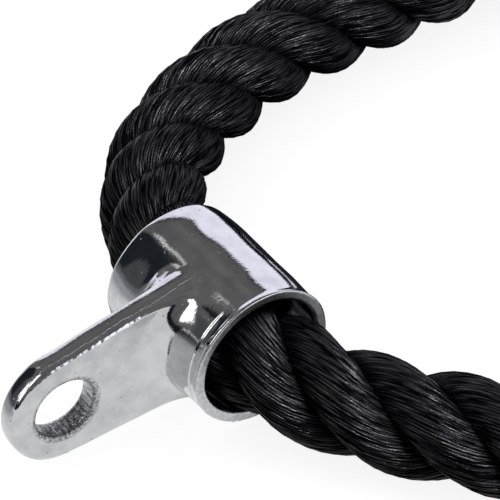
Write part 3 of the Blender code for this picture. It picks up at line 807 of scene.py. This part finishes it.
    # How open each point is to the light, which the yarn's material paints as shade: not at all in a
    # groove or deep between two strands
    from_centre = add(VECTOR_MATH, "SUBTRACT", here, route["centre"])
    along_axis = add(VECTOR_MATH, "DOT_PRODUCT", from_centre, route["axis"])
    along_axis = add(VECTOR_MATH, "SCALE", route["axis"], along_axis)
    depth = add(VECTOR_MATH, "SUBTRACT", from_centre, along_axis)
    depth = add(VECTOR_MATH, "LENGTH", depth)
    outermost = add(MATH, "ADD", given["Strand radius"], given["Strand offset"])
    share = add(MATH, "DIVIDE", depth, outermost)
    painted_light_share = add(MAP_RANGE, share, 0.64, 0.89, **SMOOTH)
    painted_light_share = add(MATH, "MULTIPLY", painted_light_share, section["crown"])
    stored = rested
    for kind, name, field in (
        ("FLOAT_VECTOR", "strand_place", place), ("FLOAT", "yarn_openness", painted_light_share)
    ):
        stored = add(
            "GeometryNodeStoreNamedAttribute", stored, Name=name, Value=field,
            data_type=kind, domain="POINT",
        )
    smooth = add("GeometryNodeSetShadeSmooth", stored)
    real = add("GeometryNodeRealizeInstances", smooth)
    painted = add("GeometryNodeSetMaterial", real, Material=material)
    add("NodeGroupOutput", painted)
    return tree


def route_curve(name, points, turns, thicknesses):
    """The rope's centre line as a curve that also holds the strands' turn and thickness."""
    curve = bpy.data.curves.new(name, "CURVE")
    curve.dimensions = "3D"
    spline = curve.splines.new("POLY")
    spline.points.add(len(points) - 1)
    for slot, point, turn, thickness in zip(spline.points, points, turns, thicknesses):
        slot.co = (*point, 1)
        slot.tilt = turn
        slot.radius = thickness
    obj = bpy.data.objects.new(name, curve)
    bpy.context.scene.collection.objects.link(obj)
    return obj


def laid_rope(name, curve, tree, values, material):
    """One half of the rope as a plain mesh."""
    modifier = curve.modifiers.new("laid_rope", "NODES")
    modifier.node_group = tree
    for item in tree.interface.items_tree:
        if item.in_out == "INPUT" and item.name in values:
            modifier[item.identifier] = values[item.name]
    mesh = plain_copy(curve)
    bpy.data.objects.remove(curve)
    mesh.name = name
    return finish_piece(name, mesh, material)


def strand_turn(distance, sizes):
    """How far the strands have turned at a distance from the sleeve's middle. The two tails' own
    lays meet inside the sleeve."""
    front = sizes.front_phase + math.tau * distance / sizes.front_lay
    rear = sizes.rear_phase + math.tau * distance / sizes.rear_lay
    return front + (rear - front) * eased(clamped(0.5 + distance / (2 * BEND_START)))


def strand_thickness(distance, sizes):
    """The strands are squeezed where the stoppers grip them."""
    share = (abs(distance) - (sizes.length / 2 - GRIPPED)) / GRIP_TAPER
    return 1 - (1 - sizes.squeezed) * clamped(share)


class ATTACHMENT_OT_rope(Operator):
    """Lay the three-strand rope along its route, in two halves that meet inside the sleeve"""

    bl_idname = "attachment.rope"
    bl_label = "Rope"

    def execute(self, context):
        sizes = context.scene.attachment.rope
        material = filament_yarn(sizes.colour)
        tree = rope_tree(material)
        route = smooth_route()
        values = {
            "Strand radius": sizes.strand_radius,
            "Strand offset": sizes.strand_offset,
            "Yarns": sizes.yarns,
            "Yarn groove": sizes.yarn_groove,
            "Yarn unevenness": sizes.yarn_unevenness,
            "Looseness": sizes.looseness,
            "Floor": ROPE_LOWEST,
        }
        count = round(sizes.length / 2 / sizes.ring_step)
        for side, towards, twist in (("front", -1, sizes.front_twist), ("rear", 1, sizes.rear_twist)):
            distances = [towards * sizes.length / 2 * step / count for step in range(count + 1)]
            points = [rope_at(route, distance, sizes) for distance in distances]
            # Along the front tail the curve runs against the rope's own direction, and so do its turns.
            turns = [towards * strand_turn(distance, sizes) for distance in distances]
            thicknesses = [strand_thickness(distance, sizes) for distance in distances]
            curve = route_curve(f"{side}_rope_route", points, turns, thicknesses)
            values["Yarn twist"] = twist
            piece = laid_rope(f"{side}_rope", curve, tree, values, material)
            nodes = [f"{side}_rope_bend", f"{side}_rope_tail"]
            if side == "front":
                nodes.append("rope_core")
            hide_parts(*nodes)
            bpy.data.collections["lit_by_strip"].objects.link(piece)
            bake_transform(piece)
        return {"FINISHED"}


class ATTACHMENT_OT_casting(Operator):
    """Make the chromed eye casting"""

    bl_idname = "attachment.casting"
    bl_label = "Eye casting"

    def execute(self, context):
        sizes = context.scene.attachment.casting
        piece = finish_piece("eye_casting", casting_mesh(sizes), chromium_plate())
        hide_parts("eye_sleeve")
        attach(piece, "fitting")
        return {"FINISHED"}


# The rope's ends, as outlines of (radius, height along the rope's outward axis from its end)
TURN_STEPS = 96
ARC_STEPS, SWELL_STEPS, HEAD_STEPS, FERRULE_STEPS, GATE_STEPS = 8, 40, 60, 40, 12
# Where the ferrule is crimped, as shares of its length, and how wide each ring is
CRIMP_PLACES, CRIMP_WIDTH = (0.3, 0.7), 0.0012
PLUG_BEVEL = 0.0004
# The extra points across a parting line, as shares of its half width. It runs over whatever is
# wider than this share of the piece.
SEAM_POINTS, SEAM_FROM = (-2, -1, -0.5, 0.5, 1, 2), 0.75
SHARP_ANGLE = math.radians(40)


def arc_points(radius, height, rounding, start, end):
    """Points on a round edge, from one angle to another in degrees, 0 outwards and 90 along the axis."""
    points = []
    for step in range(ARC_STEPS + 1):
        angle = math.radians(start + (end - start) * step / ARC_STEPS)
        points.append((radius + rounding * math.cos(angle), height + rounding * math.sin(angle)))
    return points


def stopper_outline(sizes):
    """A moulded bell: a narrow neck on the rope, a smooth swell, and a thick head with shallow rings."""
    outer = sizes.stopper_beyond
    inner = outer - sizes.stopper_length
    ferrule_radius = sizes.grip_radius + sizes.ferrule_wall
    pocket = ferrule_radius + sizes.clearance
    floor = -sizes.ferrule_length - sizes.clearance
    mouth = sizes.mouth_rounding
    outline = [(pocket, outer - mouth), (pocket, floor), (sizes.grip_radius, floor)]
    outline += arc_points(sizes.grip_radius + mouth, inner + mouth, mouth, 180, 270)
    edge = sizes.neck_rounding
    outline += arc_points(sizes.neck_radius - edge, inner + edge, edge, 270, 360)
    low = inner + sizes.neck_length
    high = outer - sizes.head_length
    for step in range(SWELL_STEPS + 1):
        share = step / SWELL_STEPS
        ease = (1 - math.cos(math.pi * share)) / 2
        radius = sizes.neck_radius + (sizes.head_radius - sizes.neck_radius) * ease
        outline.append((radius, low + (high - low) * share))
    end = outer - sizes.head_rounding
    middle = (high + end) / 2
    for step in range(1, HEAD_STEPS):
        height = high + (end - high) * step / HEAD_STEPS
        cut = sum(
            math.exp(-(((height - middle - offset * sizes.ring_spacing) / sizes.ring_width) ** 2))
            for offset in (-1, 0, 1)
        )
        outline.append((sizes.head_radius - sizes.ring_depth * cut, height))
    outline += arc_points(sizes.head_radius - sizes.head_rounding, end, sizes.head_rounding, 0, 90)
    outline += arc_points(pocket + mouth, outer - mouth, mouth, 90, 180)[:-1]
    return outline


def ferrule_outline(sizes):
    """A tube with two rings pressed into it by the crimping tool."""
    bore = sizes.grip_radius
    radius = bore + sizes.ferrule_wall
    edge = sizes.ferrule_wall / 4
    length = sizes.ferrule_length
    outline = arc_points(bore + edge, -length + edge, edge, 180, 270)
    outline += arc_points(radius - edge, -length + edge, edge, 270, 360)
    for step in range(1, FERRULE_STEPS):
        height = -length + edge + (length - 2 * edge) * step / FERRULE_STEPS
        cut = sum(math.exp(-(((height + length * share) / CRIMP_WIDTH) ** 2)) for share in CRIMP_PLACES)
        outline.append((radius - sizes.crimp_depth * cut, height))
    outline += arc_points(radius - edge, -edge, edge, 0, 90)
    outline += arc_points(bore + edge, -edge, edge, 90, 180)
    return outline


def plug_outline(sizes):
    """A disc with a rounded edge and the moulding gate's dimple in its middle."""
    radius = sizes.grip_radius + sizes.ferrule_wall
    low = sizes.stopper_beyond - sizes.plug_thickness
    high = sizes.stopper_beyond
    edge = sizes.plug_rounding
    outline = [(0.0, low), (radius - PLUG_BEVEL, low), (radius, low + PLUG_BEVEL)]
    outline += arc_points(radius - edge, high - edge, edge, 0, 90)
    for step in range(GATE_STEPS + 1):
        share = 1 - step / GATE_STEPS
        height = high - sizes.gate_depth * (1 + math.cos(math.pi * share)) / 2
        outline.append((sizes.gate_radius * share, height))
    return outline


def turned_mesh(name, outline, place, outward, seam_height=0.0, seam_width=0.0):
    """A closed mesh turned round the rope's outward axis, with the mould's parting line on both
    sides. An outline that starts and ends on the axis is closed there."""
    up = Vector(UPWARDS)
    aside = outward.cross(up)
    angles = [math.tau * step / TURN_STEPS for step in range(TURN_STEPS)]
    if seam_width:
        outermost = max(radius for radius, _ in outline)
        narrow = seam_width / outermost
        for middle in (0.0, math.pi):
            angles += [middle + narrow * share for share in SEAM_POINTS]
    angles = sorted(angle % math.tau for angle in angles)
    bm = bmesh.new()
    rings = []
    for radius, height in outline:
        centre = place + outward * height
        if radius == 0:
            rings.append([bm.verts.new(centre)])
            continue
        ring = []
        for angle in angles:
            reach = radius
            if seam_width and radius > SEAM_FROM * outermost:
                reach += seam_height * math.exp(-((math.sin(angle) * outermost / seam_width) ** 2))
            side = aside * math.cos(angle) + up * math.sin(angle)
            ring.append(bm.verts.new(centre + side * reach))
        rings.append(ring)
    pairs = list(zip(rings, rings[1:]))
    if len(rings[0]) > 1:
        pairs.append((rings[-1], rings[0]))
    count = len(angles)
    for near, far in pairs:
        for index in range(count):
            after = (index + 1) % count
            if len(near) == 1:
                bm.faces.new((near[0], far[index], far[after]))
            elif len(far) == 1:
                bm.faces.new((near[index], near[after], far[0]))
            else:
                bm.faces.new((near[index], near[after], far[after], far[index]))
    bmesh.ops.recalc_face_normals(bm, faces=bm.faces)
    mesh = bpy.data.meshes.new(name)
    bm.to_mesh(mesh)
    bm.free()
    mesh.shade_smooth()
    mesh.set_sharp_from_angle(angle=SHARP_ANGLE)
    return mesh


class ATTACHMENT_OT_rope_ends(Operator):
    """Make the stoppers, plugs and ferrules on the rope's ends"""

    bl_idname = "attachment.rope_ends"
    bl_label = "Rope ends"

    def execute(self, context):
        sizes = context.scene.attachment.ends
        rope = context.scene.attachment.rope
        rubber = moulded_rubber(sizes.colour)
        kinds = (
            ("stopper", "end_stopper", stopper_outline, rubber, "stopper_rubber", sizes.seam_width),
            ("plug", "end_plug", plug_outline, moulded_nylon(sizes.plug_colour), "plug", 0.0),
            ("ferrule", "crimp_ferrule", ferrule_outline, drawn_aluminium(), "ferrule", 0.0),
        )
        route = smooth_route()
        for side, towards in (("front", -1), ("rear", 1)):
            place = rope_at(route, towards * rope.length / 2, rope)
            before = rope_at(route, towards * (rope.length / 2 - HEADING_STEP), rope)
            outward = (place - before).normalized()
            for name, node, outline, material, slot, seam in kinds:
                full = f"{side}_{name}"
                mesh = turned_mesh(full, outline(sizes), place, outward, sizes.seam_height, seam)
                piece = finish_piece(full, mesh, material)
                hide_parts(f"{side}_{node}")
                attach(piece, f"{side}_tail")
        return {"FINISHED"}


# The panels, cards and dark corners round the set that the chromium mirrors. Each is its middle's
# azimuth, counted from +X towards +Y, and elevation, half its width and height, the softness of its
# edges, all in degrees, its colour, and its brightness, where 1 is white.
STUDIO = (
    ("long pale wall behind", 54, 0, 31, 33, 3, "#f2f1ff", 1.35),
    ("dark top edge of the wall", 54, 34.5, 31, 1.5, 2, "#8088a8", 0.05),
    ("pale wall on the left", 101, 1, 5, 14, 4, "#f4f2ff", 1.10),
    ("grey curtain's foot", 128, 0, 24, 4, 2, "#e4e8ec", 0.25),
    ("flag's dark side", 138, 15, 8, 16, 6, "#c8ccd4", 0.140),
    ("black flag on the left", 118.5, 26, 14.5, 23, 3, "#a8b8cc", 0.045),
    ("flag's bright edge", 104, 49, 2, 4, 2, "#ffffff", 1.00),
    ("large softbox", 166, 44, 17, 24, 5, "#ffffff", 3.60),
    ("dark edge of the table", 202, 5, 52, 7, 3, "#8a96b4", 0.035),
    ("dark corner on the right", 320, 50, 30, 8, 8, "#aab4c8", 0.100),
    ("pale wall on the right", 312.5, 10, 29.5, 20, 3, "#f4f6ff", 1.90),
)
# Painted shade that the chromium mirrors in the floor, laid over the painted light of its pale middle and
# its brighter back: two zones of painted shade off to the eye's side, and a painted contact shadow inside
# the rope's loop. Each zone's middle is counted from the sleeve's; then come the distances from it at
# which the zone starts and is whole, the wedge of azimuths that it keeps to, its colour and its
# brightness.
FLOOR_ZONES = (
    ("near painted shade", (-0.200, 0.160), 0.190, 0.130, None, "#e4e8ec", 0.55),
    ("far painted shade", (0.0, 0.0), 0.14, 0.42, (132, 26, 10), "#dfe4ea", 0.26),
    ("painted contact shadow", (0.066, 0.032), 0.095, 0.080, None, "#8a96b4", 0.05),
)
# Painted light for the chromium: the floor's middle shines pale, and towards the back wall it shines as
# bright as that wall
FLOOR_MIDDLE, FLOOR_BACK = ("#f6f8f8", 1.0), ("#f2f1ff", 1.35)
BACK_DIRECTION, BACK_START, BACK_WHOLE = (0.62, 0.78, 0), 0.06, 0.13
# How much of the floor the camera sees as plain white, and how bright that white is
PAPER_WHITE, PAPER_GLOW = 0.62, 1.40
# The uneven dark of the room between the panels, and the plain light that matt surfaces take
ROOM_DARK, ROOM_PALE, ROOM_LIGHT = ("#f4f4ff", 0.055), ("#fdfbf8", 0.27), ("#fdfdff", 0.56)
# Each lamp's place, width in metres and power in watts, and whether it is the strip that glints on
# the rope only, masked from the chromium as a photographer's flag would
LAMPS = (
    ("key", (-0.9, 1.1, 1.5), 0.5, 6.0, False),
    ("strip", (0.26, -0.33, 1.0), 0.40, 42.0, True),
)
LAMP_COLOUR = "#f4f4ff"
WHITE = "#ffffff"


def soft_range(add, value, middle, half, edge):
    """1 where an angle in degrees is within half of a middle, falling to 0 over a soft edge."""
    away = add(MATH, "SUBTRACT", value, middle)
    away = add(MATH, "WRAP", away, 180.0, -180.0)
    away = add(MATH, "ABSOLUTE", away)
    return add(MAP_RANGE, away, half + edge / 2, half - edge / 2, **SMOOTH)


def azimuth_of(add, parts):
    """The azimuth in degrees of a direction that is given by its parts."""
    turn = add(MATH, "ARCTAN2", parts["Y"], parts["X"])
    return add(MATH, "MULTIPLY", turn, math.degrees(1))


def studio_world():
    """A white surround for the camera, plain light for matt surfaces, and the studio's panels for
    whatever mirrors them."""
    world = bpy.data.worlds.new("studio")
    world.use_nodes = True
    add = partial(add_node, world.node_tree)
    direction = add("ShaderNodeTexCoord", output="Generated")
    parts = add("ShaderNodeSeparateXYZ", direction).node.outputs
    azimuth = azimuth_of(add, parts)
    elevation = add(MATH, "ARCSINE", parts["Z"])
    elevation = add(MATH, "MULTIPLY", elevation, math.degrees(1))
    clutter = add(NOISE, direction, Scale=3.5, Detail=5.0, Roughness=0.62)
    shown = add(MIX, clutter, hex_colour(*ROOM_DARK), hex_colour(*ROOM_PALE), data_type="RGBA")
    for _, around, height, half_width, half_height, edge, colour, strength in STUDIO:
        across = soft_range(add, azimuth, around, half_width, edge)
        upright = soft_range(add, elevation, height, half_height, edge)
        inside = add(MATH, "MULTIPLY", across, upright)
        shown = add(MIX, inside, shown, hex_colour(colour, strength), data_type="RGBA")
    rays = add("ShaderNodeLightPath").node.outputs
    plain = add(MIX, rays["Is Glossy Ray"], hex_colour(*ROOM_LIGHT), shown, data_type="RGBA")
    seen = add(MIX, rays["Is Camera Ray"], plain, hex_colour(WHITE), data_type="RGBA")
    feed(world.node_tree.nodes["Background"], {"Color": seen})
    return world


def white_paper(colour):
    """Seamless white paper: matt, and it keeps the object's soft shadow. The camera sees it lit to white.
    The chromium instead mirrors light painted on it as emission: pale grey in front, brighter towards the
    back wall, with painted shade and a painted contact shadow laid in."""
    material, add, shader = new_material("seamless_white_paper")
    feed(shader, {"Base Color": hex_colour(colour), "Roughness": 0.9, "Specular IOR Level": 0.1})
    place = add("ShaderNodeTexCoord", output="Object")
    from_sleeve = add(VECTOR_MATH, "SUBTRACT", place, (*SLEEVE_CENTRE.xy, 0))
    azimuth = azimuth_of(add, add("ShaderNodeSeparateXYZ", from_sleeve).node.outputs)
    back = add(VECTOR_MATH, "DOT_PRODUCT", from_sleeve, BACK_DIRECTION)
    back = add(MAP_RANGE, back, BACK_START, BACK_WHOLE, **SMOOTH)
    # Painted light that the chromium mirrors: pale in the floor's middle, brighter towards the back wall
    painted_floor_reflection = add(MIX, back, hex_colour(*FLOOR_MIDDLE), hex_colour(*FLOOR_BACK), data_type="RGBA")
    # Painted shade and a painted contact shadow laid over it, zone by zone
    for _, middle, start, whole, wedge, shade, strength in FLOOR_ZONES:
        inside = add(VECTOR_MATH, "DISTANCE", from_sleeve, (*middle, 0))
        inside = add(MAP_RANGE, inside, start, whole, **SMOOTH)
        if wedge:
            inside = add(MATH, "MULTIPLY", inside, soft_range(add, azimuth, *wedge))
        painted_floor_reflection = add(MIX, inside, painted_floor_reflection, hex_colour(shade, strength), data_type="RGBA")
    # Emitted to glossy rays only, so the chromium mirrors this painted light and shade instead of the
    # paper's own lit look
    painted_floor_glow = add("ShaderNodeEmission", painted_floor_reflection)
    white = add("ShaderNodeEmission", hex_colour(WHITE), PAPER_GLOW)
    lit = add("ShaderNodeMixShader", PAPER_WHITE, shader.outputs[0], white)
    rays = add("ShaderNodeLightPath").node.outputs
    seen = add("ShaderNodeMixShader", rays["Is Camera Ray"], shader.outputs[0], lit)
    done = add("ShaderNodeMixShader", rays["Is Glossy Ray"], seen, painted_floor_glow)
    feed(material.node_tree.nodes["Material Output"], {"Surface": done})
    return material


def aimed(place, target):
    """Where a lamp stands and how it is turned to face its target."""
    return Matrix.Translation(place) @ (target - place).to_track_quat("-Z", "Y").to_matrix().to_4x4()


class ATTACHMENT_OT_stage(Operator):
    """Set up the floor, the lamps, the sky and the photograph's camera"""

    bl_idname = "attachment.stage"
    bl_label = "Stage"

    def execute(self, context):
        sizes = context.scene.attachment.stage
        scene = context.scene
        half = sizes.floor_size / 2
        mesh = bpy.data.meshes.new("floor")
        corners = [(-half, -half, 0), (half, -half, 0), (half, half, 0), (-half, half, 0)]
        mesh.from_pydata(corners, [], [(0, 1, 2, 3)])
        floor = finish_piece("floor", mesh, white_paper(sizes.paper_colour))
        scene.world = studio_world()
        for name, place, width, power, glints in LAMPS:
            data = bpy.data.lights.new(name, "AREA")
            data.shape = "SQUARE"
            data.size = width
            data.energy = power
            data.color = hex_colour(LAMP_COLOUR)[:3]
            lamp = bpy.data.objects.new(name, data)
            lamp.matrix_world = aimed(Vector(place), Vector())
            lamp.visible_camera = False
            lamp.visible_glossy = glints
            if glints:
                lamp.light_linking.receiver_collection = bpy.data.collections.new(f"lit_by_{name}")
            scene.collection.objects.link(lamp)
        camera_data = bpy.data.cameras.new("camera")
        camera_data.lens = sizes.lens
        camera_data.sensor_width = sizes.sensor
        camera_data.clip_start = CAMERA_CLIP
        camera = bpy.data.objects.new("camera", camera_data)
        scene.collection.objects.link(camera)
        up = CAMERA_RIGHT.cross(CAMERA_AHEAD)
        turned = Matrix((CAMERA_RIGHT, up, -CAMERA_AHEAD)).transposed().to_4x4()
        camera.matrix_world = Matrix.Translation(SLEEVE_CENTRE + CAMERA_REACH) @ turned
        scene.camera = camera
        scene.view_settings.view_transform = "Standard"
        return {"FINISHED"}


class ATTACHMENT_PT_panel(Panel):
    """Lists the attachment's pieces"""

    bl_label = "Rope attachment"
    bl_idname = "ATTACHMENT_PT_panel"
    bl_space_type = "VIEW_3D"
    bl_region_type = "UI"
    bl_category = "Attachment"

    def draw(self, context):
        for operator in OPERATORS:
            self.layout.operator(operator.bl_idname)


GROUPS = (CastingSizes, RopeSizes, EndSizes, StageSizes, AttachmentSettings)
OPERATORS = (ATTACHMENT_OT_stage, ATTACHMENT_OT_rope_ends, ATTACHMENT_OT_rope, ATTACHMENT_OT_casting)


def register():
    for cls in (*GROUPS, *OPERATORS, ATTACHMENT_PT_panel):
        bpy.utils.register_class(cls)
    bpy.types.Scene.attachment = PointerProperty(type=AttachmentSettings)


def unregister():
    del bpy.types.Scene.attachment
    for cls in reversed((*GROUPS, *OPERATORS, ATTACHMENT_PT_panel)):
        bpy.utils.unregister_class(cls)


def main():
    register()
    bpy.ops.attachment.stage()
    bpy.ops.attachment.rope_ends()
    bpy.ops.attachment.rope()
    bpy.ops.attachment.casting()


if __name__ == "__main__":
    main()
